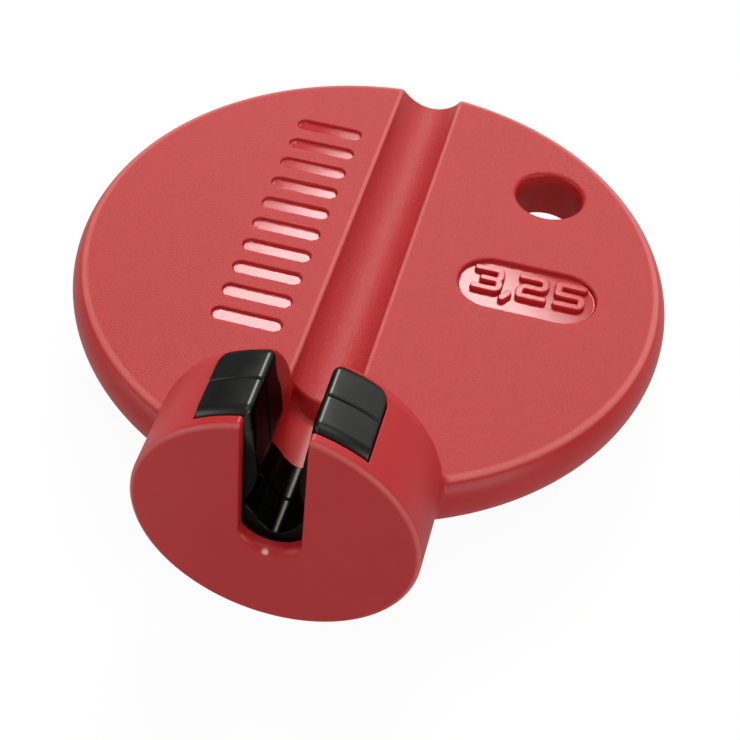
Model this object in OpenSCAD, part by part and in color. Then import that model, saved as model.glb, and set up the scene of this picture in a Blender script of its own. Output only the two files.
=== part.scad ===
// Spoke wrench: a round moulded grip disc with a short round head on its rim.
// Two hardened steel jaw plates sit back to back in the head, behind its front wall.
// X runs across the disc, Y along the spoke groove away from the head, Z up.
// The origin is the centre of the disc's flat underside.

/* [Disc] */
// Diameter of the grip disc
disc_d = 52; // [46:1:64]
// Thickness of the grip disc
disc_t = 5; // [4.6:0.1:6.5]
// How far the disc's side bulges out past its upper and lower edges
rim_bulge = 1.1; // [0.6:0.1:1.5]
// Radius that softens the disc's upper and lower edges
rim_edge_r = 0.4; // [0.2:0.05:0.7]

/* [Spoke groove] */
// Width of the spoke groove at the disc's top face
groove_w = 5.6; // [5.4:0.1:6.6]
// Depth of the spoke groove
groove_depth = 2.5; // [1.8:0.1:2.7]
// Radius that softens the groove's long edges
groove_edge_r = 0.35; // [0.15:0.05:0.6]

/* [Head] */
// Diameter of the round head
head_d = 22.9; // [20:0.1:26]
// How far the head's front face stands out past the disc's rim
head_reach = 4; // [3:0.1:7]
// How far the head's axis lies below the disc's top face
head_drop = 1.3; // [0.8:0.1:1.8]
// Thickness of the head's wall in front of the jaws
front_wall = 1.1; // [0.9:0.1:2.5]
// Radius that softens the edge of the head's front face
head_edge_r = 0.5; // [0.2:0.05:0.8]
// Length of the shoulder that slopes from the head's back down to the disc
shoulder_len = 6.9; // [5:0.1:8]
// Radius of the shoulder at its far end
shoulder_tip_r = 1.4; // [1:0.1:3]
// How far the shoulder's slope bulges out from a straight cone
shoulder_bulge = 0.45; // [0.3:0.05:1]

/* [Jaw plates] */
// Thickness of one jaw plate
jaw_t = 3.4; // [2.6:0.1:3.6]
// Width of the jaw plates
jaw_w = 12.9; // [11.6:0.1:14]
// Steel left below the point of the V seat
jaw_web = 3; // [2.6:0.1:4]
// How far the jaw arms stand out past the head's round side
jaw_proud = 0.35; // [0.2:0.05:0.6]
// Radius on the jaw arms' edges along the throat
jaw_arm_r = 0.55; // [0.3:0.05:1]
// Radius on the outer front and back edges of the jaw arms
jaw_end_r = 0.9; // [0.3:0.1:1.1]
// Bevel where the two plates meet
jaw_seam = 0.15; // [0.1:0.05:0.3]
// Radius on the plates' two lower corners
jaw_corner_r = 1.2; // [0.6:0.1:1.6]
// Radius on the rear plate's two rear upright edges
jaw_back_r = 1.6; // [0.8:0.1:2]

/* [Nipple socket] */
// Depth below the disc's top face of the point where the V seat's two faces would meet
vee_drop = 3; // [2.6:0.1:3.4]
// Angle between the two faces of the V seat
vee_angle = 90; // [80:1:100]
// Radius in the crease of the V seat
vee_crease_r = 0.75; // [0.2:0.05:1]
// Width of the socket across its two side corners
socket_w = 5.5; // [5:0.1:5.8]
// Radius in the socket's two side corners
socket_corner_r = 0.4; // [0.2:0.1:0.6]
// Width of the throat above the socket, which the spoke passes through
throat_w = 2.9; // [2.5:0.1:3.3]
// Height of the throat above the point of the V seat
throat_rise = 5.2; // [4.6:0.1:5.8]
// Angle between the two arms' inner faces above the throat
throat_angle = 11; // [6:1:18]
// Radius on the throat's two lips
throat_lip_r = 1; // [0.5:0.1:1.4]

/* [Nipple slot] */
// Width of the slot through the plastic head
slot_w = 5; // [4.6:0.1:5.8]
// Depth of the slot's rounded floor below the disc's top face
slot_drop = 4; // [3.6:0.1:4.4]
// Radius of the slot's floor across the slot
slot_floor_r = 3; // [2.9:0.1:4]
// Distance from the head's back to the slot's inner end
slot_tail = 6.6; // [6:0.1:9]
// Slope of the slot's inner end below the groove floor, from level
ramp_angle = 52; // [40:1:70]
// Radius that softens the slot's upright edges on the front face
slot_edge_r = 0.3; // [0.15:0.05:0.5]
// Radius that rolls the slot's floor over to the front face
slot_lip_r = 0.7; // [0.3:0.1:0.8]

/* [Hang hole] */
// Diameter of the hang hole
hole_d = 6.1; // [4:0.1:6.5]
// Distance of the hang hole from the groove's centre line
hole_x = 13.6; // [11:0.1:15]
// Distance of the hang hole from the disc's cross centre line
hole_y = 13.45; // [11:0.05:14]
// Radius that softens the hang hole's two rims
hole_edge_r = 0.35; // [0.2:0.05:0.7]

/* [Size mark recess] */
// Length of the recess that holds the size mark
mark_len = 12.5; // [10:0.1:13]
// Width of the recess
mark_w = 6.5; // [5:0.1:7]
// Depth of the recess
mark_depth = 0.45; // [0.3:0.05:0.7]
// Distance of the recess's middle from the groove's centre line
mark_x = 13.8; // [12:0.1:15]
// Distance of the recess's middle from the disc's cross centre line
mark_y = 0.45; // [-1:0.05:2]
// Radius that softens the recess's rim
mark_edge_r = 0.2; // [0.1:0.05:0.3]

/* [Fits] */
// Gap all round between the jaw plates and their pocket
jaw_fit = 0.05; // [0.02:0.01:0.1]

/* [Hidden] */
$fn = 96;

// Overrun of every cut past the face that it opens
over = 1;

// Disc
disc_r = disc_d / 2;
disc_top = disc_t;
half_t = disc_t / 2;
rim_r = (half_t * half_t + rim_bulge * rim_bulge) / (2 * rim_bulge);
rim_cx = disc_r - rim_r;
rim_fillet_x = rim_cx + sqrt(pow(rim_r - rim_edge_r, 2) - pow(half_t - rim_edge_r, 2));
rim_tangent_z = (half_t - rim_edge_r) * rim_r / (rim_r - rim_edge_r);

// Groove
groove_r = (pow(groove_w / 2, 2) + groove_depth * groove_depth) / (2 * groove_depth);
groove_cz = disc_top - groove_depth + groove_r;
groove_lip_z = disc_top - groove_edge_r;
groove_lip_x = sqrt(pow(groove_r + groove_edge_r, 2) - pow(groove_cz - groove_lip_z, 2));
groove_tangent_z = groove_cz - (groove_cz - groove_lip_z) * groove_r / (groove_r + groove_edge_r);
groove_floor = disc_top - groove_depth;

// Head, along Y
head_r = head_d / 2;
head_cz = disc_top - head_drop;
head_front = -disc_r - head_reach;
jaw_front = head_front + front_wall + jaw_fit;
jaw_seam_y = jaw_front + jaw_t;
jaw_back = jaw_seam_y + jaw_t;
head_back = jaw_back + jaw_fit;
shoulder_end = head_back + shoulder_len;
shoulder_chord = norm([head_r - shoulder_tip_r, shoulder_len]);
shoulder_r = (pow(shoulder_chord / 2, 2) + pow(shoulder_bulge, 2)) / (2 * shoulder_bulge);
shoulder_out = [shoulder_len, head_r - shoulder_tip_r] / shoulder_chord;
shoulder_mid = [(head_r + shoulder_tip_r) / 2, shoulder_len / 2];
shoulder_centre = shoulder_mid - (shoulder_r - shoulder_bulge) * shoulder_out;

// Jaws, in X and Z about the head's axis
jaw_r = head_r + jaw_proud;
arm_out = jaw_w / 2;
vee_z = head_drop - vee_drop;
jaw_foot = vee_z - jaw_web;

// Outline of the socket and throat: the V seat's point, a side corner, a lip and the arm's top
vee_point = [0, vee_z];
socket_corner = [socket_w / 2, vee_z + socket_w / 2 / tan(vee_angle / 2)];
throat_lip = [throat_w / 2, vee_z + throat_rise];
throat_run = [sin(throat_angle / 2), cos(throat_angle / 2)];
throat_top = throat_lip + throat_run * (jaw_r + over - throat_lip[1]) / throat_run[1];

// Centre of the round on an arm's upper inner edge, which touches the arm's inner face and its top
arm_side = [throat_run[1], -throat_run[0]];
arm_base = throat_lip + jaw_arm_r * arm_side;
arm_along = arm_base * throat_run;
arm_reach = pow(jaw_r - jaw_arm_r, 2) - arm_base * arm_base;
arm_centre = arm_base + throat_run * (sqrt(arm_along * arm_along + arm_reach) - arm_along);
arm_ray = arm_centre / norm(arm_centre);

// Slot, in X and Z about the head's axis
slot_half = slot_w / 2;
slot_cz = head_drop - slot_drop + slot_floor_r;
slot_corner_z = slot_cz - sqrt(slot_floor_r * slot_floor_r - slot_half * slot_half);
slot_end = head_back + slot_tail;

// Turns a shape drawn in X and Y, and raised along Z, to stand in X and Z and run along Y from y
module along_y(y) {
    translate([0, y, 0]) rotate([90, 0, 0]) mirror([0, 0, 1]) children();
}

// Turns a solid of revolution about Z to the head's axis, its base at y
module on_head_axis(y) {
    translate([0, y, head_cz]) rotate([-90, 0, 0]) children();
}

// Half outline of the disc: flat faces, a side on one arc and softened edges
module disc_profile() {
    square([rim_fillet_x, disc_t]);
    intersection() {
        translate([rim_cx, half_t]) circle(r = rim_r);
        translate([0, half_t - rim_tangent_z]) square([disc_r, 2 * rim_tangent_z]);
    }
    for (z = [rim_edge_r, disc_t - rim_edge_r])
        translate([rim_fillet_x, z]) circle(r = rim_edge_r);
}

// Half outline of the head: a barrel with a softened front edge, then the bulged shoulder
module head_profile() {
    barrel = head_back - head_front;
    square([head_r - head_edge_r, barrel]);
    translate([0, head_edge_r]) square([head_r, barrel - head_edge_r]);
    translate([head_r - head_edge_r, head_edge_r]) circle(r = head_edge_r);
    translate([0, barrel]) intersection() {
        translate(shoulder_centre) circle(r = shoulder_r);
        square([head_r, shoulder_len]);
    }
}

module disc() {
    rotate_extrude() intersection() {
        disc_profile();
        square([disc_r, disc_t]);
    }
}

module head() {
    on_head_axis(head_front) rotate_extrude() intersection() {
        head_profile();
        square([head_r, shoulder_end - head_front]);
    }
}

// The spoke groove with its softened edges, from the slot's inner end to the far rim
module groove_cut() {
    along_y(slot_end - over) linear_extrude(height = disc_r - slot_end + 2 * over) {
        translate([0, groove_cz]) circle(r = groove_r);
        difference() {
            translate([-groove_lip_x, groove_tangent_z])
                square([2 * groove_lip_x, disc_top + over - groove_tangent_z]);
            for (side = [-1, 1])
                translate([side * groove_lip_x, groove_lip_z]) circle(r = groove_edge_r);
        }
    }
}

// Outline of the slot: straight sides over a wide round floor, drawn about the head's axis
module slot_profile() {
    intersection() {
        translate([0, slot_cz]) circle(r = slot_floor_r);
        translate([-slot_half, slot_corner_z - slot_floor_r]) square([slot_w, slot_floor_r + over]);
    }
    translate([-slot_half, slot_corner_z])
        square([slot_w, head_r + over - slot_corner_z]);
}

// What a rounded edge of radius r takes away beside a cut, in a quarter of the plane
module edge_round(r) {
    difference() {
        translate([-over, -over]) square([r + over, r + over]);
        translate([r, r]) circle(r = r);
    }
}

// The slot through the head, with its sloping inner end and softened front edges
module slot_cut() {
    difference() {
        translate([0, 0, head_cz]) along_y(head_front - over)
            linear_extrude(height = slot_end - head_front + over) slot_profile();
        translate([0, slot_end, groove_floor]) rotate([ramp_angle, 0, 0])
            translate([-slot_w, -slot_tail, -slot_tail]) cube([2 * slot_w, slot_tail, slot_tail]);
    }
    for (side = [0, 1])
        mirror([side, 0, 0]) translate([slot_half, head_front, head_cz + slot_corner_z])
            linear_extrude(height = head_r + over - slot_corner_z) edge_round(slot_edge_r);
    intersection() {
        translate([0, head_front, head_cz + slot_cz]) rotate([-90, 0, 0]) rotate_extrude()
            difference() {
                square([slot_floor_r + slot_lip_r, slot_lip_r]);
                translate([slot_floor_r + slot_lip_r, slot_lip_r]) circle(r = slot_lip_r);
            }
        translate([-slot_half, head_front - over, head_cz + slot_cz - slot_floor_r - slot_lip_r])
            cube([slot_w, slot_lip_r + 2 * over, slot_floor_r + slot_lip_r]);
    }
}

// A tall block from in front of the jaws back to y, its two rear upright edges rounded
module rounded_back(half, y, r) {
    front = jaw_front - over;
    translate([0, 0, -head_r]) linear_extrude(height = 3 * head_r) {
        translate([-half, front]) square([2 * half, y - r - front]);
        translate([r - half, front]) square([2 * (half - r), y - front]);
        for (side = [-1, 1])
            translate([side * (half - r), y - r]) circle(r = r);
    }
}

// The pocket that both jaw plates stand in
module jaw_pocket() {
    pocket_w = jaw_w + 2 * jaw_fit;
    corner = jaw_corner_r + jaw_fit;
    half = pocket_w / 2 - corner;
    intersection() {
        translate([0, 0, head_cz]) along_y(jaw_front - jaw_fit)
            linear_extrude(height = 2 * (jaw_t + jaw_fit)) {
                translate([-pocket_w / 2, jaw_foot + corner])
                    square([pocket_w, jaw_r + over - jaw_foot - corner]);
                translate([-half, jaw_foot]) square([2 * half, corner]);
                for (side = [-1, 1])
                    translate([side * half, jaw_foot + corner]) circle(r = corner);
            }
        rounded_back(pocket_w / 2, head_back, jaw_back_r + jaw_fit);
    }
}

// The hang hole with its two softened rims
module hole_cut() {
    hole_r = hole_d / 2;
    translate([hole_x, hole_y, 0]) {
        translate([0, 0, -over]) cylinder(h = disc_t + 2 * over, r = hole_r);
        rotate_extrude() difference() {
            translate([0, -over]) square([hole_r + hole_edge_r, disc_t + 2 * over]);
            translate([hole_r, hole_edge_r]) square([2 * hole_edge_r, disc_t - 2 * hole_edge_r]);
            for (z = [hole_edge_r, disc_t - hole_edge_r])
                translate([hole_r + hole_edge_r, z]) circle(r = hole_edge_r);
        }
    }
}

// A flat-bottomed pill shape, its base at z
module pill(width, z, height) {
    reach = (mark_len - mark_w) / 2;
    translate([mark_x, mark_y, z]) linear_extrude(height = height) {
        square([2 * reach, width], center = true);
        for (side = [-1, 1])
            translate([side * reach, 0]) circle(r = width / 2);
    }
}

// The recess for the size mark, its rim softened in small steps
module mark_recess() {
    rim_steps = 3;
    pill(mark_w - 2 * mark_edge_r, disc_top - mark_depth, mark_depth + over);
    for (i = [0 : rim_steps - 1]) {
        turn = 90 * (i + 0.5) / rim_steps;
        depth = mark_edge_r * (1 - sin(turn));
        flare = mark_edge_r * cos(turn);
        pill(mark_w - 2 * flare, disc_top - depth, depth + over);
    }
}

// One-piece moulded body: disc, head and shoulder
module body() {
    color([0.76, 0.2, 0.19]) difference() {
        union() {
            disc();
            head();
        }
        groove_cut();
        slot_cut();
        jaw_pocket();
        hole_cut();
        mark_recess();
    }
}

// The area between a corner and the arc of radius r that touches its two sides, which run from
// the corner towards the points a and b
module corner_piece(corner, a, b, r) {
    to_a = (a - corner) / norm(a - corner);
    to_b = (b - corner) / norm(b - corner);
    half_angle = acos(to_a * to_b) / 2;
    centre = corner + (to_a + to_b) / norm(to_a + to_b) * r / sin(half_angle);
    difference() {
        polygon([corner, corner + to_a * r / tan(half_angle), centre,
            corner + to_b * r / tan(half_angle)]);
        translate(centre) circle(r = r);
    }
}

// The opening between the arms: a diamond-shaped socket with a V seat, and the throat over it
module socket_profile() {
    mirrored = [[-1, 0], [0, 1]];
    difference() {
        polygon([
            vee_point, socket_corner, throat_lip, throat_top,
            mirrored * throat_top, mirrored * throat_lip, mirrored * socket_corner
        ]);
        corner_piece(vee_point, socket_corner, mirrored * socket_corner, vee_crease_r);
        for (side = [0, 1])
            mirror([side, 0]) corner_piece(socket_corner, vee_point, throat_lip, socket_corner_r);
    }
    for (side = [0, 1])
        mirror([side, 0]) corner_piece(throat_lip, socket_corner, throat_top, throat_lip_r);
}

// Outline of one jaw plate about the head's axis: a foot and two arms beside the socket
module jaw_profile() {
    half = arm_out - jaw_corner_r;
    difference() {
        intersection() {
            circle(r = jaw_r);
            union() {
                translate([-arm_out, jaw_foot + jaw_corner_r])
                    square([jaw_w, jaw_r - jaw_foot]);
                translate([-half, jaw_foot]) square([2 * half, jaw_corner_r]);
                for (side = [-1, 1])
                    translate([side * half, jaw_foot + jaw_corner_r]) circle(r = jaw_corner_r);
            }
        }
        socket_profile();
        for (side = [0, 1]) mirror([side, 0]) arm_corner();
    }
}

// What the rounded edge of one arm, along the throat, takes away
module arm_corner() {
    reach = jaw_arm_r + over;
    difference() {
        polygon([
            arm_centre,
            arm_centre - arm_side * reach,
            arm_centre + (arm_ray - arm_side) * reach,
            arm_centre + arm_ray * reach
        ]);
        translate(arm_centre) circle(r = jaw_arm_r);
    }
}

// One jaw plate, its outer face at y = 0 and its seam face at y = jaw_t
module jaw_plate() {
    intersection() {
        along_y(0) linear_extrude(height = jaw_t) jaw_profile();
        rotate([-90, 0, 0]) rotate_extrude() {
            square([jaw_r - jaw_end_r, jaw_t]);
            translate([jaw_r - jaw_end_r, jaw_end_r]) circle(r = jaw_end_r);
            translate([0, jaw_end_r]) square([jaw_r, jaw_t - jaw_end_r - jaw_seam]);
            translate([0, jaw_t - jaw_seam]) polygon([
                [0, 0], [jaw_r, 0], [jaw_r - jaw_seam, jaw_seam], [0, jaw_seam]
            ]);
        }
    }
}

// Front jaw plate, behind the head's front wall
module front_jaw() {
    color([0.17, 0.175, 0.17]) translate([0, jaw_front, head_cz]) jaw_plate();
}

// Rear jaw plate, back to back with the front one, its two rear upright edges rounded
module rear_jaw() {
    color([0.17, 0.175, 0.17]) intersection() {
        translate([0, jaw_back, head_cz]) mirror([0, 1, 0]) jaw_plate();
        rounded_back(arm_out, jaw_back, jaw_back_r);
    }
}

body();
front_jaw();
rear_jaw();
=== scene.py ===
"""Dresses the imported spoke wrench: a moulded disc with a round head, and two steel jaw plates in it.

Every curved solid is written as a field: a function of x, y and z in millimetres that is below 0
inside the solid, above 0 outside it, and near the surface tells the distance to it. Two fields are
joined, or one is cut from another, with a round edge between them. The surface where the field is 0
is found on a grid of lines, and each of its points is then moved onto it exactly.
"""

import math

import bpy
import numpy as np
from mathutils import Matrix, Vector


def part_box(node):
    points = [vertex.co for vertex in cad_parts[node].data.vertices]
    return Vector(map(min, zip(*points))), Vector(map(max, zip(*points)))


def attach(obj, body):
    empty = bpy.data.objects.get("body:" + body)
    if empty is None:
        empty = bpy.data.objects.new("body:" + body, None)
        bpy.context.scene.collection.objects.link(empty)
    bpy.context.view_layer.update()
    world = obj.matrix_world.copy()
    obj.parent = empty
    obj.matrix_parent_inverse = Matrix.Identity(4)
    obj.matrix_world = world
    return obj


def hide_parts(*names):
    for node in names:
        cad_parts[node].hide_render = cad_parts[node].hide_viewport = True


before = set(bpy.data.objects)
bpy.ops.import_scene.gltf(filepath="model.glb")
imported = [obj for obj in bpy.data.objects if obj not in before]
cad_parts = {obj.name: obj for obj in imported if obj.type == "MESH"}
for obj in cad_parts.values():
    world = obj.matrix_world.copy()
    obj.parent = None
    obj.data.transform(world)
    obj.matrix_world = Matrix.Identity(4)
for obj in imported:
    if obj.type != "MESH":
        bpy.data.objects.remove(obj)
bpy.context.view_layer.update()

MM = 0.001


def box_mm(node):
    """Lowest and highest corner of a CAD node, in millimetres."""
    low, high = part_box(node)
    return np.array(low) / MM, np.array(high) / MM


# Sizes read from the frame
BODY_LOW, BODY_HIGH = box_mm("body")
FRONT_LOW, FRONT_HIGH = box_mm("front_jaw")
REAR_LOW, REAR_HIGH = box_mm("rear_jaw")

# Disc
DISC_R = BODY_HIGH[0]
DISC_T = 5.0
RIM_BULGE = 1.1
RIM_EDGE_R = 0.4
HALF_T = DISC_T / 2
RIM_R = (HALF_T**2 + RIM_BULGE**2) / (2 * RIM_BULGE)
RIM_CX = DISC_R - RIM_R

# Head, along Y
HEAD_DROP = 1.3
HEAD_CZ = DISC_T - HEAD_DROP
HEAD_R = HEAD_CZ - BODY_LOW[2]
HEAD_FRONT = BODY_LOW[1]
HEAD_EDGE_R = 0.5
JAW_FIT = 0.05
HEAD_BACK = REAR_HIGH[1] + JAW_FIT
SHOULDER_LEN = 6.9
SHOULDER_TIP_R = 1.4
SHOULDER_BULGE = 0.45
SHOULDER_CHORD = math.hypot(HEAD_R - SHOULDER_TIP_R, SHOULDER_LEN)
SHOULDER_R = (SHOULDER_CHORD**2 / 4 + SHOULDER_BULGE**2) / (2 * SHOULDER_BULGE)
SHOULDER_BACK_SET = (SHOULDER_R - SHOULDER_BULGE) / SHOULDER_CHORD
SHOULDER_CR = (HEAD_R + SHOULDER_TIP_R) / 2 - SHOULDER_BACK_SET * SHOULDER_LEN
SHOULDER_CY = HEAD_BACK + SHOULDER_LEN / 2 - SHOULDER_BACK_SET * (HEAD_R - SHOULDER_TIP_R)
JOINT_R = 0.3
SHOULDER_EDGE_R = 0.5

# Groove and slot
GROOVE_W = 5.6
GROOVE_DEPTH = 2.5
GROOVE_EDGE_R = 0.35
GROOVE_GRAIN = 0.7
GROOVE_R = (GROOVE_W**2 / 4 + GROOVE_DEPTH**2) / (2 * GROOVE_DEPTH)
GROOVE_CZ = DISC_T - GROOVE_DEPTH + GROOVE_R
GROOVE_OVERLAP = 1.0
SLOT_HALF_W = 2.5
SLOT_DROP = 4.0
SLOT_FLOOR_R = 3.0
SLOT_CZ = DISC_T - SLOT_DROP + SLOT_FLOOR_R
SLOT_TAIL = 6.6
SLOT_END = HEAD_BACK + SLOT_TAIL
SLOT_EDGE_R = 0.3
SLOT_LIP_R = 0.55
SLOT_LIP_Z = (1.6, 3.2)
SLOT_FRONT_FADE = (0.5, 3.0)
SLOT_FRONT_X = -0.2
SLOT_FRONT_RISE = 0.2
SLOT_FALL = 0.26
SLOT_FOOT_R = 0.25
RAMP = math.radians(52)

# Jaws
JAW_HALF_W = FRONT_HIGH[0]
JAW_PROUD = 0.35
JAW_R = HEAD_R + JAW_PROUD
JAW_FOOT_Z = FRONT_LOW[2]
JAW_CORNER_R = 1.2
JAW_ARM_R = 0.55
JAW_CROWN_Z = (11.0, 12.8)
SEAT_POLISH_Z = (4.8, 6.5)
JAW_END_R = 0.9
JAW_EDGE_R = 0.1
JAW_SEAM_R = 0.2
JAW_BACK_CORNER_R = 1.6
POCKET_EDGE_R = 0.12

# Nipple socket: a V seat, two flanks that lean in above its corners, and the throat over them
VEE_Z = 2.0
VEE_HALF_ANGLE = math.radians(45)
VEE_CREASE_R = 0.75
CORNER_X = 2.75
CORNER_R = 0.4
CORNER_Z = VEE_Z + CORNER_X / math.tan(VEE_HALF_ANGLE)
THROAT_X = 1.45
THROAT_Z = 7.2
THROAT_LIP_R = 1.0
THROAT_TAPER = math.radians(5.5)
FLANK_LEAN = math.atan2(CORNER_X - THROAT_X, THROAT_Z - CORNER_Z)

# Hang hole
HOLE_R = 3.05
HOLE_X = 13.6
HOLE_Y = 13.45
HOLE_EDGE_R = 0.35
HOLE_TOP_R = 0.5
HOLE_TOP_Z = (1.5, 3.5)

# Recess for the size mark
MARK_X = 13.8
MARK_Y = 0.45
MARK_LEN = 12.5
MARK_W = 6.5
MARK_DEPTH = 0.45
MARK_EDGE_R = 0.25
MARK_FOOT_R = 0.1

# Size mark: raised plain numbers on the recess floor
DIGIT_W = 2.1
DIGIT_H = 2.4
DIGIT_CORNER_R = 0.45
DIGIT_HARD_R = 0.12
STROKE_R = 0.31
DIGIT_FOOT = -0.26
DIGIT_LEFTS = (9.27, 13.2, 16.45)
THREE_BAR_SHARE = 0.3
COMMA_X = 12.1
COMMA_LINE = ((0.2, -0.15), (0, -0.45), (-0.22, -0.8))
NUMBER_TOP = 4.97
NUMBER_ROOT = 0.1
NUMBER_FOOT = DISC_T - MARK_DEPTH - NUMBER_ROOT
NUMBER_DRAFT = 0.12
NUMBER_EDGE_R = 0.09

# Painted glint: a small pale spot on the slot's lip, where a bright highlight shows
LIP_GLINT = (-0.48, -29.88, 0.72)
LIP_GLINT_R = 0.35

# Row of plain grip bars, sunk into the disc left of the groove
BAR_X = -8.1
BAR_FIRST_Y = -10.4
BAR_PITCH = 2.95
BAR_COUNT = 10
BAR_LEN = 6.2
BAR_W = 1.5
BAR_DEPTH = 0.3
BAR_EDGE_R = 0.12
BAR_FOOT_R = 0.08


def soft_and(a, b, r):
    """What solids a and b share: the greater of the two fields, and within r of both surfaces a
    circle of radius r that touches them."""
    return np.minimum(-r, np.maximum(a, b)) + np.hypot(np.maximum(r + a, 0), np.maximum(r + b, 0))


def soft_or(a, b, r):
    """Solids a and b joined, with a fillet of radius r in the corner between them."""
    return -soft_and(-a, -b, r)


def soft_cut(a, b, r):
    """Solid a less solid b, the edge of the cut rounded to radius r."""
    return soft_and(a, -b, r)


def ramp_up(value, start, end):
    """0 before start, 1 after end, and a straight rise between them."""
    return np.clip((value - start) / (end - start), 0, 1)


def pill(u, v, half_len, r):
    """Distance in a plane to a bar with round ends: that to its middle line, less its radius."""
    return np.hypot(np.maximum(np.abs(u) - half_len, 0), v) - r


def disc_field(x, y, z):
    """A slab whose side is the arc of radius RIM_R turned about Z."""
    rho = np.hypot(x, y)
    side = np.hypot(np.maximum(rho - RIM_CX, 0), z - HALF_T) - RIM_R
    return soft_and(side, np.abs(z - HALF_T) - HALF_T, RIM_EDGE_R)


def head_field(x, y, z):
    """A cylinder along Y, less what lies in front of its face and outside the shoulder's arc."""
    rho = np.hypot(x, z - HEAD_CZ)
    shoulder = np.hypot(rho - SHOULDER_CR, y - SHOULDER_CY) - SHOULDER_R
    side = soft_and(rho - HEAD_R, shoulder, SHOULDER_EDGE_R)
    side = np.maximum(side, y - HEAD_BACK - SHOULDER_LEN)
    return soft_and(side, HEAD_FRONT - y, HEAD_EDGE_R)


def groove_field(x, y, z):
    """A round-bottomed channel along Y: the distance to its axis, or above the axis to its plane."""
    channel = np.hypot(x, np.minimum(z - GROOVE_CZ, 0)) - GROOVE_R
    return np.maximum(channel, SLOT_END - GROOVE_OVERLAP - y)


def slot_field(x, y, z):
    """A channel between two walls and a round floor, closed by an upright end and by the ramp that
    runs down from it. In front of the jaws it lies SLOT_FRONT_X to one side, and its floor starts
    SLOT_FRONT_RISE higher and falls by SLOT_FALL of the way to the front. Both fade out inside the
    jaws, SLOT_FRONT_FADE behind their front face."""
    front = 1 - ramp_up(y, FRONT_LOW[1] + SLOT_FRONT_FADE[0], FRONT_LOW[1] + SLOT_FRONT_FADE[1])
    fall = SLOT_FALL * np.maximum(FRONT_LOW[1] - y, 0)
    low = z - front * (SLOT_FRONT_RISE - fall) - SLOT_CZ
    side = x - front * SLOT_FRONT_X
    floor = np.hypot(side, np.minimum(low, 0)) - SLOT_FLOOR_R
    channel = soft_and(np.abs(side) - SLOT_HALF_W, floor, SLOT_FOOT_R)
    floor_z = DISC_T - GROOVE_DEPTH
    ramp = (y - SLOT_END) * math.sin(RAMP) - (z - floor_z) * math.cos(RAMP)
    end = soft_and(y - SLOT_END, ramp, SLOT_FOOT_R)
    return soft_and(channel, end, SLOT_FOOT_R)


def pocket_field(x, y, z):
    """A box open at the top, its two lower corners and two rear corners rounded as the jaws' are."""
    side = np.abs(x) - JAW_HALF_W - JAW_FIT
    outline = soft_and(side, JAW_FOOT_Z - JAW_FIT - z, JAW_CORNER_R + JAW_FIT)
    outline = soft_and(outline, y - HEAD_BACK, JAW_BACK_CORNER_R + JAW_FIT)
    return np.maximum(outline, FRONT_LOW[1] - JAW_FIT - y)


def mark_field(x, y, z):
    """A sunk pill shape, its floor MARK_DEPTH below the disc's top face."""
    outline = pill(x - MARK_X, y - MARK_Y, (MARK_LEN - MARK_W) / 2, MARK_W / 2 - MARK_EDGE_R)
    return soft_and(outline, DISC_T - MARK_DEPTH - z, MARK_FOOT_R)


def bars_field(x, y, z):
    """One sunk bar, repeated BAR_COUNT times along Y: y is taken from the nearest bar's middle."""
    nearest = np.clip(np.round((y - BAR_FIRST_Y) / BAR_PITCH), 0, BAR_COUNT - 1)
    v = y - BAR_FIRST_Y - nearest * BAR_PITCH
    outline = pill(x - BAR_X, v, (BAR_LEN - BAR_W) / 2, BAR_W / 2)
    return soft_and(outline, DISC_T - BAR_DEPTH - z, BAR_FOOT_R)


def body_field(x, y, z):
    """The disc and the head joined, less the groove, slot, pocket, hole and recesses."""
    solid = soft_or(disc_field(x, y, z), head_field(x, y, z), JOINT_R)
    solid = soft_cut(solid, groove_field(x, y, z), GROOVE_EDGE_R)
    lip = SLOT_LIP_R + (SLOT_EDGE_R - SLOT_LIP_R) * ramp_up(z, *SLOT_LIP_Z)
    solid = soft_cut(solid, slot_field(x, y, z), lip)
    solid = soft_cut(solid, pocket_field(x, y, z), POCKET_EDGE_R)
    rim = HOLE_EDGE_R + (HOLE_TOP_R - HOLE_EDGE_R) * ramp_up(z, *HOLE_TOP_Z)
    solid = soft_cut(solid, np.hypot(x - HOLE_X, y - HOLE_Y) - HOLE_R, rim)
    solid = soft_cut(solid, mark_field(x, y, z), MARK_EDGE_R)
    return soft_cut(solid, bars_field(x, y, z), BAR_EDGE_R)


def socket_field(x, z):
    """The opening between the arms, in the plane of a plate. Below, a diamond between the V seat's
    two faces and two flanks that lean in over it; above, a throat that widens upwards. They are
    joined with rounded lips."""
    half = np.abs(x)
    seat = half * math.cos(VEE_HALF_ANGLE) - (z - VEE_Z) * math.sin(VEE_HALF_ANGLE)
    crease = soft_and(
        x * math.cos(VEE_HALF_ANGLE) - (z - VEE_Z) * math.sin(VEE_HALF_ANGLE),
        -x * math.cos(VEE_HALF_ANGLE) - (z - VEE_Z) * math.sin(VEE_HALF_ANGLE),
        VEE_CREASE_R,
    )
    seat = np.maximum(seat, crease)
    flank = (half - CORNER_X) * math.cos(FLANK_LEAN) + (z - CORNER_Z) * math.sin(FLANK_LEAN)
    throat = (half - THROAT_X) * math.cos(THROAT_TAPER) - (z - THROAT_Z) * math.sin(THROAT_TAPER)
    throat = np.maximum(throat, half - CORNER_X)
    return soft_or(soft_and(seat, flank, CORNER_R), np.maximum(throat, seat), THROAT_LIP_R)


ARC_POINTS = 6


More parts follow.
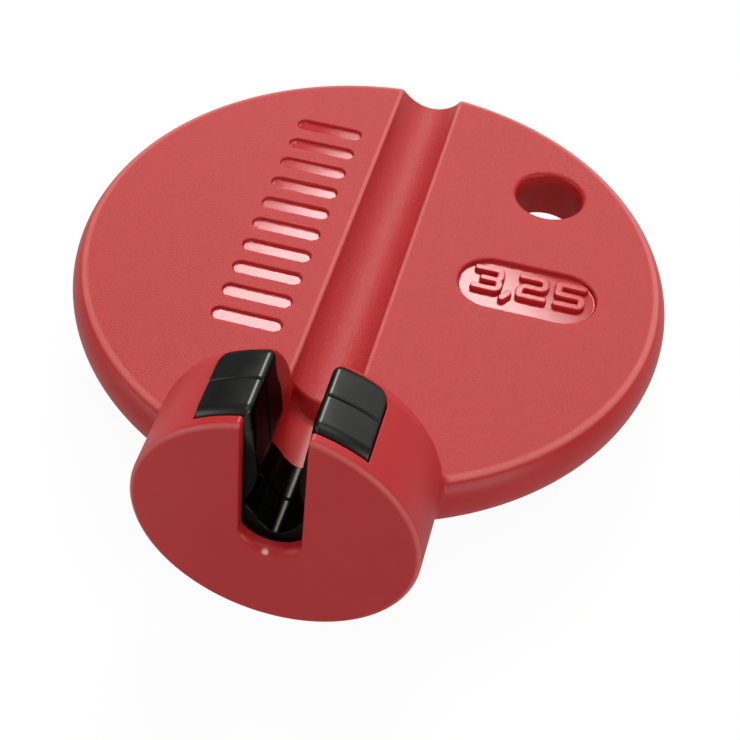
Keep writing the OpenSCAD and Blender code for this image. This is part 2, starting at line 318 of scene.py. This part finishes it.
def rounded(points, radii):
    """A line through points with each inner corner turned into a quarter round of its own radius:
    the corner's centre lies that far along both sides, and the arc between is drawn in equal turns."""
    points = [np.array(p, float) for p in points]
    path = [points[0]]
    for before, corner, after, r in zip(points, points[1:], points[2:], radii):
        back = (before - corner) / np.linalg.norm(before - corner)
        ahead = (after - corner) / np.linalg.norm(after - corner)
        centre = corner + (back + ahead) * r
        for turn in np.linspace(0, math.pi / 2, ARC_POINTS):
            path.append(centre - ahead * r * math.cos(turn) - back * r * math.sin(turn))
    return np.array(path + [points[-1]])


def line_distance(u, v, path):
    """Distance in a plane to a line of straight stretches: the least of those to each stretch."""
    least = np.full(u.shape, np.inf)
    for start, end in zip(path[:-1], path[1:]):
        way = end - start
        along = ((u - start[0]) * way[0] + (v - start[1]) * way[1]) / (way @ way)
        along = np.clip(along, 0, 1)
        least = np.minimum(least, np.hypot(u - start[0] - along * way[0], v - start[1] - along * way[1]))
    return least


def size_strokes():
    """The middle lines of the size mark's plain numbers, each drawn in a box of DIGIT_W by DIGIT_H
    with its lower left corner at 0, then moved to its place along the recess."""
    w, h, half = DIGIT_W, DIGIT_H, DIGIT_H / 2
    soft, hard = DIGIT_CORNER_R, DIGIT_HARD_R
    bar = THREE_BAR_SHARE * w
    three = [
        ([(0, h), (w, h), (w, half), (bar, half)], (soft, soft)),
        ([(bar, half), (w, half), (w, 0), (0, 0)], (soft, soft)),
    ]
    two = [([(0, h), (w, h), (w, half), (0, half), (0, 0), (w, 0)], (soft, soft, soft, hard))]
    five = [([(w, h), (0, h), (0, half), (w, half), (w, 0), (0, 0)], (hard, hard, soft, soft))]
    strokes = [np.array(COMMA_LINE) + np.array([COMMA_X, DIGIT_FOOT])]
    for left, paths in zip(DIGIT_LEFTS, (three, two, five)):
        for path, radii in paths:
            strokes.append(rounded(path, radii) + np.array([left, DIGIT_FOOT]))
    return strokes


def numbers_field(x, y, z):
    """Round-ended strokes about their middle lines, from below the recess floor to NUMBER_TOP."""
    strokes = size_strokes()
    least = line_distance(x, y, strokes[0])
    for path in strokes[1:]:
        least = np.minimum(least, line_distance(x, y, path))
    draft = (NUMBER_TOP - z) * NUMBER_DRAFT
    upright = soft_and(least - STROKE_R - draft, z - NUMBER_TOP, NUMBER_EDGE_R)
    return np.maximum(upright, NUMBER_FOOT - z)


def jaw_field(x, y, z, outer_y, seam_y, corner_r):
    """A plate between outer_y and seam_y. Its outline is a round top, two sides and a foot, less the
    socket. The arms' edges along the throat, the plate's outer edge and, with corner_r, its two
    outer corners are rounded."""
    rise = z - HEAD_CZ
    depth = np.abs(y - seam_y) - abs(outer_y - seam_y)
    facing = (y - seam_y) * np.sign(seam_y - outer_y)
    rim = np.hypot(x, rise) - JAW_R
    end_r = JAW_EDGE_R + (JAW_END_R - JAW_EDGE_R) * ramp_up(z, *JAW_CROWN_Z)
    arms = soft_and(soft_cut(rim, socket_field(x, z), JAW_ARM_R), depth, end_r)
    side = soft_and(np.abs(x) - JAW_HALF_W, JAW_FOOT_Z - z, JAW_CORNER_R)
    plate = soft_and(arms, soft_and(side, depth, corner_r), JAW_EDGE_R)
    return soft_and(plate, facing, JAW_SEAM_R)


def graded(low, high, step, fine):
    """Grid lines from low to high, step apart, and closer in each (start, end, closer step) of fine.
    The fineness, 1 over the wanted step, is summed along the way and cut into equal shares."""
    samples = 20000
    at = np.linspace(low, high, samples)
    fineness = np.full(at.shape, 1 / step)
    for start, end, closer in fine:
        fineness[(at > start) & (at < end)] = 1 / closer
    total = np.concatenate([[0], np.cumsum((fineness[1:] + fineness[:-1]) / 2 * np.diff(at))])
    return np.interp(np.linspace(0, total[-1], int(total[-1]) + 2), total, at)


def slope(field, points):
    """How the field changes at each point, from its values a hundredth of a millimetre either side."""
    reach = 0.01
    rows = []
    for axis in np.eye(3) * reach:
        rows.append(field(*(points + axis).T) - field(*(points - axis).T))
    return np.stack(rows, axis=1) / (2 * reach)


def unit_slope(field, points):
    """The direction in which the field rises at each point: its slope, made 1 long."""
    least = 1e-6
    way = slope(field, points)
    return way / np.maximum(np.linalg.norm(way, axis=1), least)[:, None]


def settle(field, points, rounds):
    """Moves each point along the field's slope by the field's value over the slope squared, and no
    further than a limit at a time."""
    least_squared, limit = 0.25, 0.3
    for _ in range(rounds):
        way = slope(field, points)
        share = field(*points.T) / np.maximum((way**2).sum(1), least_squared)
        points = points - way * np.clip(share, -limit, limit)[:, None]
    return points


def skin(field, lines):
    """The surface where field is 0, as points and four-sided faces. A cell of the grid whose corners
    differ in sign holds one point, and each grid edge whose ends differ joins its four cells. The
    field is first worked out at the middle of each block of grid points, and then at every point of
    the blocks where it came out below reach. Reach is more than half a block's diagonal."""
    block = 6
    reach_share = 0.9
    blocks = [axis[np.minimum(np.arange(len(axis)) // block * block + block // 2, len(axis) - 1)]
              for axis in lines]
    starts = [axis[::block] for axis in blocks]
    rough = field(starts[0][:, None, None], starts[1][None, :, None], starts[2][None, None, :])
    spread = [np.arange(len(axis)) // block for axis in lines]
    rough = rough[np.ix_(*spread)]
    reach = max(np.diff(axis).max() for axis in lines) * block * reach_share
    inside = rough < 0
    near = np.nonzero(np.abs(rough) < reach)
    inside[near] = field(*(axis[i] for axis, i in zip(lines, near))) < 0
    del rough
    corners = np.zeros([n - 1 for n in inside.shape], np.int8)
    for i, j, k in np.ndindex(2, 2, 2):
        corners += inside[i:corners.shape[0] + i, j:corners.shape[1] + j, k:corners.shape[2] + k]
    active = np.nonzero((corners > 0) & (corners < 8))
    number = np.full(corners.shape, -1, np.int32)
    number[active] = np.arange(len(active[0]))
    middles = [(axis[1:] + axis[:-1]) / 2 for axis in lines]
    points = np.stack([axis[i] for axis, i in zip(middles, active)], axis=1)
    faces = []
    for axis in range(3):
        first, second = (axis + 1) % 3, (axis + 2) % 3
        low = np.moveaxis(inside, axis, 0)
        edge = np.nonzero(np.moveaxis(low[1:] != low[:-1], 0, axis))
        keep = (edge[first] > 0) & (edge[second] > 0)
        edge = np.stack([e[keep] for e in edge])
        ring = []
        for a, b in ((1, 1), (0, 1), (0, 0), (1, 0)):
            cell = edge.copy()
            cell[first] -= a
            cell[second] -= b
            ring.append(number[tuple(cell)])
        ring = np.stack(ring, axis=1)
        outward = inside[tuple(edge)]
        faces.append(np.where(outward[:, None], ring, ring[:, ::-1]))
    return points, np.concatenate(faces)


def mesh_from(name, points, faces):
    """A mesh from points in millimetres and faces of three or four corners."""
    mesh = bpy.data.meshes.new(name)
    corners = faces.shape[1]
    mesh.vertices.add(len(points))
    mesh.vertices.foreach_set("co", (points * MM).astype(np.float32).ravel())
    mesh.loops.add(faces.size)
    mesh.loops.foreach_set("vertex_index", faces.astype(np.int32).ravel())
    mesh.polygons.add(len(faces))
    mesh.polygons.foreach_set("loop_start", np.arange(0, faces.size, corners, dtype=np.int32))
    mesh.update(calc_edges=True)
    return mesh


def mesh_points(mesh):
    """A mesh's vertices in millimetres."""
    flat = np.empty(len(mesh.vertices) * 3, np.float32)
    mesh.vertices.foreach_get("co", flat)
    return flat.reshape(-1, 3).astype(float) / MM


def solid(name, field, lines, triangles, material, slot, replaced=()):
    """A piece whose surface is the field's. It is thinned to about so many triangles, which leaves
    flat faces with few and round ones with many, and each normal is the field's own slope."""
    points, faces = skin(field, lines)
    points = settle(field, points, rounds=4)
    rough = mesh_from(name, points, faces)
    piece = bpy.data.objects.new(name, rough)
    bpy.context.scene.collection.objects.link(piece)
    thin = piece.modifiers.new("thin", "DECIMATE")
    thin.ratio = min(1.0, triangles / (2 * len(faces)))
    bpy.context.view_layer.update()
    graph = bpy.context.evaluated_depsgraph_get()
    finished = bpy.data.meshes.new_from_object(piece.evaluated_get(graph))
    piece.modifiers.clear()
    piece.data = finished
    bpy.data.meshes.remove(rough)
    finished.name = name
    points = settle(field, mesh_points(finished), rounds=2)
    finished.vertices.foreach_set("co", (points * MM).astype(np.float32).ravel())
    finished.polygons.foreach_set("use_smooth", np.ones(len(finished.polygons), bool))
    finished.update()
    normals = unit_slope(field, points).astype(np.float32)
    finished.normals_split_custom_set_from_vertices(normals)
    finished.materials.append(material)
    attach(piece, "root")
    if replaced:
        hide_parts(*replaced)
    print(name, len(faces), "grid faces,", len(finished.polygons), "kept")
    return piece


def share_attribute(piece, name, values):
    """Stores one number from 0 to 1 at each vertex, for the piece's material to read."""
    attribute = piece.data.attributes.new(name, "FLOAT", "POINT")
    attribute.data.foreach_set("value", np.clip(values, 0, 1).astype(np.float32))


# Materials

# Moulded plastic
COARSE_GRAIN_SCALE = 260
FINE_GRAIN_SCALE = 4600
SMOOTH_REDS = ((0.47, 0.017, 0.019, 1), (0.54, 0.023, 0.025, 1))
# The grained reds are paler, partly for the grain's own mottling and partly as painted sheen
FROSTED_REDS_AND_SHEEN = ((0.47, 0.030, 0.029, 1), (0.57, 0.052, 0.050, 1))
# Painted highlight: the pale colour of the lit lines along the head's front edge, the disc's rim and the
# groove's edges
PAINTED_HIGHLIGHT_RED = (0.64, 0.14, 0.13, 1)
# Painted glint colour for the small spot on the slot's lip
LIP_GLINT_RED = (0.92, 0.50, 0.45, 1)
SMOOTH_ROUGH = 0.36
GRAINED_ROUGH = 0.5
POLISHED_ROUGH = 0.05
ROUGH_CHANGE = 0.04
SMOOTH_RELIEF = 0.03
GRAINED_RELIEF = 0.9
RELIEF_DEPTH = 0.13 * MM
PLASTIC_IOR = 1.4
GLOW_SHARE = 0.35
GLOW_SPREAD = (1.0, 0.12, 0.1)
GLOW_REACH = 1.2 * MM

# Jaw steel
PIT_SCALE = 5200
CLOUD_SCALE = 420
STEEL_TINTS = ((0.035, 0.036, 0.035, 1), (0.060, 0.062, 0.058, 1))
SHADED_STEEL = (0.015, 0.014, 0.013, 1)
STEEL_ROUGH = (0.26, 0.42)
SEAT_ROUGH = 0.22
PIT_RELIEF = 0.25
PIT_DEPTH = 0.01 * MM
STEEL_GLANCE = (0.5, 0.5, 0.5, 1)


def node_adder(tree):
    """Empties a node tree and gives a function that adds a node to it. Each of the node's inputs
    takes a plain value or another node's output, and the rest are settings of the node."""
    tree.nodes.clear()

    def add(kind, inputs=(), **settings):
        node = tree.nodes.new(kind)
        for name, value in settings.items():
            setattr(node, name, value)
        for name, value in dict(inputs).items():
            if isinstance(value, bpy.types.NodeSocket):
                tree.links.new(value, node.inputs[name])
            else:
                node.inputs[name].default_value = value
        return node.outputs

    return add


def new_material(name):
    """A material with an empty node tree, and the function that adds a node to it."""
    material = bpy.data.materials.new(name)
    material.use_nodes = True
    return material, node_adder(material.node_tree)


def attributes(add, *names):
    """The numbers stored at the vertices under each of the names."""
    return [add("ShaderNodeAttribute", attribute_name=name)["Fac"] for name in names]


def blend(add, factor, low, high, kind="RGBA"):
    """A colour, or of kind FLOAT a number: low where the factor is 0, and high where it is 1."""
    return add("ShaderNodeMix", {"Factor": factor, "A": low, "B": high}, data_type=kind)["Result"]


def stretch(add, factor, **ends):
    """The factor between From Min and From Max, or 0 and 1, stretched from To Min to To Max."""
    inputs = {name.replace("_", " ").title(): value for name, value in ends.items()}
    return add("ShaderNodeMapRange", {"Value": factor, **inputs})["Result"]


def moulded_red():
    """Moulded plastic: fine tool grain where the attribute grain_and_sheen is 1, with a paler tint that is
    partly the grain's own mottling and partly painted sheen; smooth where it is 0; nearly polished where
    the attribute polish is 1. Where the attribute edge_highlight is 1 the colour is a pale painted
    highlight, and a small pale spot on the slot's lip is a painted glint."""
    material, add = new_material("moulded_red")
    place = add("ShaderNodeTexCoord")["Object"]
    grain_and_sheen, polish, edge_highlight = attributes(add, "grain_and_sheen", "polish", "edge_highlight")
    fine = add("ShaderNodeTexNoise", {
        "Vector": place, "Scale": FINE_GRAIN_SCALE, "Detail": 3, "Roughness": 0.6})["Fac"]
    broad = add("ShaderNodeTexNoise", {"Vector": place, "Scale": COARSE_GRAIN_SCALE, "Detail": 3})["Fac"]

    # Painted glint: a small pale spot on the slot's lip
    middle = Vector(LIP_GLINT) * MM
    off_glint = add("ShaderNodeVectorMath", {0: place, 1: middle}, operation="DISTANCE")["Value"]
    glint = stretch(add, off_glint, from_min=LIP_GLINT_R * MM, from_max=LIP_GLINT_R * MM / 3)
    colour = blend(add, grain_and_sheen, blend(add, broad, *SMOOTH_REDS), blend(add, fine, *FROSTED_REDS_AND_SHEEN))
    # Painted highlight along the lit edges
    colour = blend(add, edge_highlight, colour, PAINTED_HIGHLIGHT_RED)
    colour = blend(add, glint, colour, LIP_GLINT_RED)

    rough = blend(add, grain_and_sheen, SMOOTH_ROUGH, GRAINED_ROUGH, "FLOAT")
    rough = blend(add, polish, rough, POLISHED_ROUGH, "FLOAT")
    rough = add("ShaderNodeMath", {0: broad, 1: ROUGH_CHANGE, 2: rough}, operation="MULTIPLY_ADD")["Value"]
    relief = stretch(add, grain_and_sheen, to_min=SMOOTH_RELIEF, to_max=GRAINED_RELIEF)
    bump = add("ShaderNodeBump", {"Strength": relief, "Distance": RELIEF_DEPTH, "Height": fine})["Normal"]
    shader = add("ShaderNodeBsdfPrincipled", {
        "Base Color": colour, "Roughness": rough, "Normal": bump, "IOR": PLASTIC_IOR,
        "Subsurface Weight": GLOW_SHARE, "Subsurface Radius": GLOW_SPREAD, "Subsurface Scale": GLOW_REACH,
    })["BSDF"]
    add("ShaderNodeOutputMaterial", {"Surface": shader})
    return material


def blacked_steel():
    """Blackened sintered steel: a dark satin metal with fine pits and a slow change of sheen. It is
    darker where the attribute shade is 1, and smoother where the attribute polish is 1."""
    material, add = new_material("blacked_steel")
    place = add("ShaderNodeTexCoord")["Object"]
    polish, shade = attributes(add, "polish", "shade")
    pits = add("ShaderNodeTexNoise", {"Vector": place, "Scale": PIT_SCALE, "Detail": 2})["Fac"]
    cloud = add("ShaderNodeTexNoise", {"Vector": place, "Scale": CLOUD_SCALE, "Detail": 3})["Fac"]
    colour = blend(add, shade, blend(add, cloud, *STEEL_TINTS), SHADED_STEEL)
    rough = stretch(add, cloud, to_min=STEEL_ROUGH[0], to_max=STEEL_ROUGH[1])
    rough = blend(add, polish, rough, SEAT_ROUGH, "FLOAT")
    bump = add("ShaderNodeBump", {"Strength": PIT_RELIEF, "Distance": PIT_DEPTH, "Height": pits})["Normal"]
    shader = add("ShaderNodeBsdfPrincipled", {
        "Base Color": colour, "Roughness": rough, "Normal": bump, "Metallic": 1.0,
        "Specular Tint": STEEL_GLANCE})["BSDF"]
    add("ShaderNodeOutputMaterial", {"Surface": shader})
    return material


# Pieces

# Steps of the grids, and triangles kept of each piece
BODY_STEP = 0.15
BODY_EDGE_STEP = 0.09
JAW_STEP = 0.08
NUMBER_STEP = 0.05
BODY_TRIANGLES = 190000
JAW_TRIANGLES = 70000
NUMBER_TRIANGLES = 60000

# What each grid spans beyond its piece, and where the body's grid is closer
BODY_MARGIN = 0.5
JAW_MARGIN = 0.3
NUMBER_MARGIN = 0.3
NUMBER_MARGIN_Z = 0.2
COMMA_DROP = 1.1
GROOVE_EDGE_X = (2.3, 3.4)
UNDERSIDE_EDGE_Z = (-0.1, 0.6)
TOP_EDGE_Z = (4.4, 5.1)

# Where each finish starts to change, and where the change ends. Names with UP are of the upward
# part of the surface's direction, 1 on a level face, and the others are lengths in millimetres.
GRAIN_Z = (DISC_T - 0.12, DISC_T - 0.02)
GRAIN_UP = (0.7, 0.95)
GRAIN_OFF_HEAD = (0.05, 0.3)
GROOVE_GRAIN_OFF = (0.03, 0.15)
GROOVE_GRAIN_Y = (SLOT_END - 0.2, SLOT_END + 0.5)
SUNK_BAND = 0.04
SUNK_FLOOR_UP = (0.9, 0.98)
# Painted highlight on lit edges: its strength and band on the head's front edge, and where it lies on the
# disc's rim and the groove's edges
HEAD_HIGHLIGHT = 0.75
HEAD_HIGHLIGHT_BAND = (-0.4, -0.22)
HIGHLIGHT_STEEP_UP = (0.3, 0.5)
HIGHLIGHT_LEVEL_UP = (0.97, 0.995)
HIGHLIGHT_Z = (4.7, 4.82)
HIGHLIGHT_OFF_HEAD = (0.3, 0.8)
HIGHLIGHT_GROOVE_BAND = (-0.7, -0.5)
HIGHLIGHT_RIM = (DISC_R - 1.6, DISC_R - 1.3)
SOCKET_WALL = (0.05, 0.3)
NUMBER_TOP_UP = (0.85, 0.98)
NUMBER_POLISH = 0.8


def make_body(material):
    """The moulded body, with how grained (its paler tint partly painted sheen), polished and pale with
    painted edge highlight each point is.
    """
    step, closer = BODY_STEP, BODY_EDGE_STEP

    def edge(place, before, after):
        """A stretch of closer grid lines, from before the place of an edge to after it."""
        return place - before, place + after, closer

    x_lines = graded(-DISC_R - BODY_MARGIN, DISC_R + BODY_MARGIN, step, [
        edge(-JAW_HALF_W, 0.3, 0.3), edge(JAW_HALF_W, 0.3, 0.3),
        (-GROOVE_EDGE_X[1], -GROOVE_EDGE_X[0], closer), (*GROOVE_EDGE_X, closer)])
    y_lines = graded(HEAD_FRONT - BODY_MARGIN, DISC_R + BODY_MARGIN, step, [
        edge(HEAD_FRONT, 0.2, 0.6), edge(FRONT_LOW[1], 0.3, 0.2), edge(HEAD_BACK, 0.2, 0.3)])
    z_lines = graded(BODY_LOW[2] - BODY_MARGIN, HEAD_CZ + HEAD_R + BODY_MARGIN, step, [
        (*UNDERSIDE_EDGE_Z, closer), (*TOP_EDGE_Z, closer)])
    body = solid("moulded_body", body_field, (x_lines, y_lines, z_lines), BODY_TRIANGLES, material,
                 "moulded_body", ["body"])
    points = mesh_points(body.data)
    x, y, z = points.T
    up = unit_slope(body_field, points)[:, 2]
    off_head = head_field(x, y, z)
    # Grain mask; where it is 1 the colour is also paler, partly as painted sheen
    top = ramp_up(z, *GRAIN_Z) * ramp_up(up, *GRAIN_UP) * ramp_up(off_head, *GRAIN_OFF_HEAD)
    groove = 1 - ramp_up(np.abs(groove_field(x, y, z)), *GROOVE_GRAIN_OFF)
    groove *= GROOVE_GRAIN * ramp_up(y, *GROOVE_GRAIN_Y)
    share_attribute(body, "grain_and_sheen", np.maximum(top, groove))

    sunk = np.maximum(-mark_field(x, y, z), -bars_field(x, y, z)) + SUNK_BAND
    share_attribute(body, "polish", ramp_up(sunk, 0, SUNK_BAND) * ramp_up(up, *SUNK_FLOOR_UP))

    # Painted highlight: pale lines along the head's front edge, and along the disc's rim and the groove's
    # edges where light catches them
    head_edge = np.minimum(np.hypot(x, z - HEAD_CZ) - HEAD_R, HEAD_FRONT - y)
    disc_highlight = ramp_up(up, *HIGHLIGHT_STEEP_UP) * (1 - ramp_up(up, *HIGHLIGHT_LEVEL_UP)) * ramp_up(z, *HIGHLIGHT_Z)
    disc_highlight *= ramp_up(off_head, *HIGHLIGHT_OFF_HEAD)
    near_groove = ramp_up(-np.abs(np.abs(x) - GROOVE_W / 2), *HIGHLIGHT_GROOVE_BAND)
    disc_highlight *= np.maximum(near_groove, ramp_up(np.hypot(x, y), *HIGHLIGHT_RIM))
    share_attribute(body, "edge_highlight", np.maximum(HEAD_HIGHLIGHT * ramp_up(head_edge, *HEAD_HIGHLIGHT_BAND), disc_highlight))
    return body


def make_jaw(name, node, outer_y, seam_y, corner_r, material):
    """One jaw plate, between its outer face and the seam, with how dark and polished each point is."""
    low, high = box_mm(node)
    low, high = low - JAW_MARGIN, high + JAW_MARGIN

    def field(x, y, z):
        """This plate's share of the jaw field."""
        return jaw_field(x, y, z, outer_y, seam_y, corner_r)

    lines = [graded(low[axis], high[axis], JAW_STEP, []) for axis in range(3)]
    jaw = solid(name, field, lines, JAW_TRIANGLES, material, "jaw_steel", [node])
    x, _, z = mesh_points(jaw.data).T
    inner = 1 - ramp_up(np.abs(socket_field(x, z)), *SOCKET_WALL)
    share_attribute(jaw, "shade", np.maximum(inner, 1 - ramp_up(z, *JAW_CROWN_Z)))
    share_attribute(jaw, "polish", inner * (1 - ramp_up(z, *SEAT_POLISH_Z)))
    return jaw


def make_numbers(material):
    """The raised size numbers, moulded on the recess floor, with their tops nearly polished."""
    reach = STROKE_R + NUMBER_MARGIN
    lines = (
        graded(DIGIT_LEFTS[0] - reach, DIGIT_LEFTS[-1] + DIGIT_W + reach, NUMBER_STEP, []),
        graded(DIGIT_FOOT - COMMA_DROP - reach, DIGIT_FOOT + DIGIT_H + reach, NUMBER_STEP, []),
        graded(NUMBER_FOOT - NUMBER_MARGIN_Z, NUMBER_TOP + NUMBER_MARGIN_Z, NUMBER_STEP, []),
    )
    numbers = solid("size_numbers", numbers_field, lines, NUMBER_TRIANGLES, material, "moulded_body")
    points = mesh_points(numbers.data)
    share_attribute(numbers, "grain_and_sheen", np.zeros(len(points)))
    up = slope(numbers_field, points)[:, 2]
    share_attribute(numbers, "polish", NUMBER_POLISH * ramp_up(up, *NUMBER_TOP_UP))
    return numbers


red = moulded_red()
steel = blacked_steel()
make_body(red)
make_numbers(red)
make_jaw("front_jaw_plate", "front_jaw", FRONT_LOW[1], FRONT_HIGH[1], JAW_EDGE_R, steel)
make_jaw("rear_jaw_plate", "rear_jaw", REAR_HIGH[1], REAR_LOW[1], JAW_BACK_CORNER_R, steel)


# Camera, at the photograph's angle

VIEW_AZIMUTH = math.radians(13.93)
VIEW_ELEVATION = math.radians(47.35)
VIEW_ROLL = math.radians(3.09)
VIEW_DISTANCE = 132.88
FRAME_PX = 740
LENS_PX = 1519.95
AIM_PX = (80.55, -111.61)
SHIFT_PX = 80
SENSOR = 36
CLIP_NEAR = 0.01
CLIP_FAR = 20


def make_camera():
    """A camera VIEW_DISTANCE from the top face's centre, turned by azimuth, elevation and roll, and
    moved sideways and up so that this centre falls AIM_PX from the lens's axis. The photograph is
    framed a little to one side of that axis, which the lens shift of SHIFT_PX takes up."""
    out = Vector((math.sin(VIEW_AZIMUTH) * math.cos(VIEW_ELEVATION),
                  -math.cos(VIEW_AZIMUTH) * math.cos(VIEW_ELEVATION), math.sin(VIEW_ELEVATION)))
    level = Vector((math.cos(VIEW_AZIMUTH), math.sin(VIEW_AZIMUTH), 0))
    upright = out.cross(level)
    right = level * math.cos(VIEW_ROLL) + upright * math.sin(VIEW_ROLL)
    up = upright * math.cos(VIEW_ROLL) - level * math.sin(VIEW_ROLL)
    shift = VIEW_DISTANCE / LENS_PX
    place = (Vector((0, 0, DISC_T)) + out * VIEW_DISTANCE
             - right * AIM_PX[0] * shift + up * AIM_PX[1] * shift)
    data = bpy.data.cameras.new("photo_view")
    data.sensor_width = SENSOR
    data.lens = LENS_PX / FRAME_PX * SENSOR
    data.shift_x = SHIFT_PX / FRAME_PX
    data.clip_start = CLIP_NEAR
    data.clip_end = CLIP_FAR
    camera = bpy.data.objects.new("photo_view", data)
    turn = Matrix((right, up, out)).transposed().to_4x4()
    camera.matrix_world = Matrix.Translation(place * MM) @ turn
    bpy.context.scene.collection.objects.link(camera)
    bpy.context.scene.camera = camera


# Stage and light

FLOOR_HALF = 900.0
FLOOR_CLEARANCE = 0.02
FLOOR_GREY = (0.34, 0.34, 0.34, 1)
FLOOR_GLOW = 0.24
FLOOR_SEEN_LEVEL = 1.08
FLOOR_SEEN_SHARE = 0.85
ROOM_LEVEL = 0.25
WHITE = (1, 1, 1, 1)

# Soft boxes: azimuth and elevation in degrees; distance, width and height in metres; level; and
# turn in degrees
LAMPS = {
    "back_box": (192.5, 52.4, 0.7, 0.3, 0.23, 0.72, 46),
    "top_box": (10, 70, 0.9, 0.8, 0.5, 0.2, 0),
    "right_box": (146, 35, 0.9, 0.7, 0.7, 0.15, 0),
    "front_right_fill": (52, 10, 1.0, 0.6, 0.3, 0.24, 0),
    "front_left_fill": (-58, 10, 1.0, 0.6, 0.3, 0.17, 0),
}


def make_floor():
    """A pale floor, softly lit from below as a light table is, through the places where the wrench
    rests: the head's lowest line and the far edge of the disc's underside. It is white to the camera
    apart from the wrench's shadow, and seen from below it isn't there."""
    head_low = np.array([HEAD_FRONT + HEAD_EDGE_R, BODY_LOW[2]])
    disc_low = np.array([DISC_R - RIM_BULGE - RIM_EDGE_R, 0.0])
    way = (disc_low - head_low) / np.linalg.norm(disc_low - head_low)
    middle = head_low + np.array([way[1], -way[0]]) * FLOOR_CLEARANCE
    ends = [middle - way * FLOOR_HALF, middle + way * FLOOR_HALF]
    points = np.array([[side * FLOOR_HALF, y, z] for y, z in ends for side in (-1, 1)])
    mesh = mesh_from("floor", points, np.array([[0, 1, 3, 2]]))
    floor = bpy.data.objects.new("floor", mesh)
    bpy.context.scene.collection.objects.link(floor)

    material, add = new_material("pale_floor")
    matt = add("ShaderNodeBsdfDiffuse", {"Color": FLOOR_GREY})["BSDF"]
    glow = add("ShaderNodeEmission", {"Color": WHITE, "Strength": FLOOR_GLOW})["Emission"]
    table = add("ShaderNodeAddShader", {0: matt, 1: glow})["Shader"]
    white = add("ShaderNodeEmission", {"Color": WHITE, "Strength": FLOOR_SEEN_LEVEL})["Emission"]
    by_camera = add("ShaderNodeLightPath")["Is Camera Ray"]
    seen = add("ShaderNodeMath", {0: by_camera, 1: FLOOR_SEEN_SHARE}, operation="MULTIPLY")["Value"]
    lit = add("ShaderNodeMixShader", {"Fac": seen, 1: table, 2: white})["Shader"]
    from_below = add("ShaderNodeNewGeometry")["Backfacing"]
    clear = add("ShaderNodeBsdfTransparent")["BSDF"]
    shown = add("ShaderNodeMixShader", {"Fac": from_below, 1: lit, 2: clear})["Shader"]
    add("ShaderNodeOutputMaterial", {"Surface": shown})
    mesh.materials.append(material)


def make_world():
    """Plain grey room light, and white where the camera looks past the floor."""
    world = bpy.data.worlds.new("room")
    world.use_nodes = True
    add = node_adder(world.node_tree)
    room = add("ShaderNodeBackground", {"Color": WHITE, "Strength": ROOM_LEVEL})["Background"]
    white = add("ShaderNodeBackground", {"Color": WHITE})["Background"]
    by_camera = add("ShaderNodeLightPath")["Is Camera Ray"]
    mix = add("ShaderNodeMixShader", {"Fac": by_camera, 1: room, 2: white})["Shader"]
    add("ShaderNodeOutputWorld", {"Surface": mix})
    bpy.context.scene.world = world


def make_lamp(name, azimuth, elevation, distance, width, height, level, turn):
    """A soft box that faces the wrench. Level is the light that it gives a face turned to it, where
    1 renders a colour as it is written: its power is level times pi squared times the distance
    squared. Turn rotates the box about the line from it to the wrench."""
    data = bpy.data.lights.new(name, "AREA")
    data.shape = "RECTANGLE"
    data.size = width
    data.size_y = height
    data.energy = level * math.pi * math.pi * distance**2
    lamp = bpy.data.objects.new(name, data)
    a, e = math.radians(azimuth), math.radians(elevation)
    out = Vector((math.sin(a) * math.cos(e), -math.cos(a) * math.cos(e), math.sin(e)))
    lamp.location = out * distance
    level_x = Vector((math.cos(a), math.sin(a), 0))
    level_y = out.cross(level_x)
    t = math.radians(turn)
    x_side = level_x * math.cos(t) + level_y * math.sin(t)
    lamp.rotation_euler = Matrix((x_side, out.cross(x_side), out)).transposed().to_euler()
    bpy.context.scene.collection.objects.link(lamp)


make_camera()
make_floor()
make_world()
for lamp_name, lamp_settings in LAMPS.items():
    make_lamp(lamp_name, *lamp_settings)

bpy.context.scene.view_settings.view_transform = "Standard"
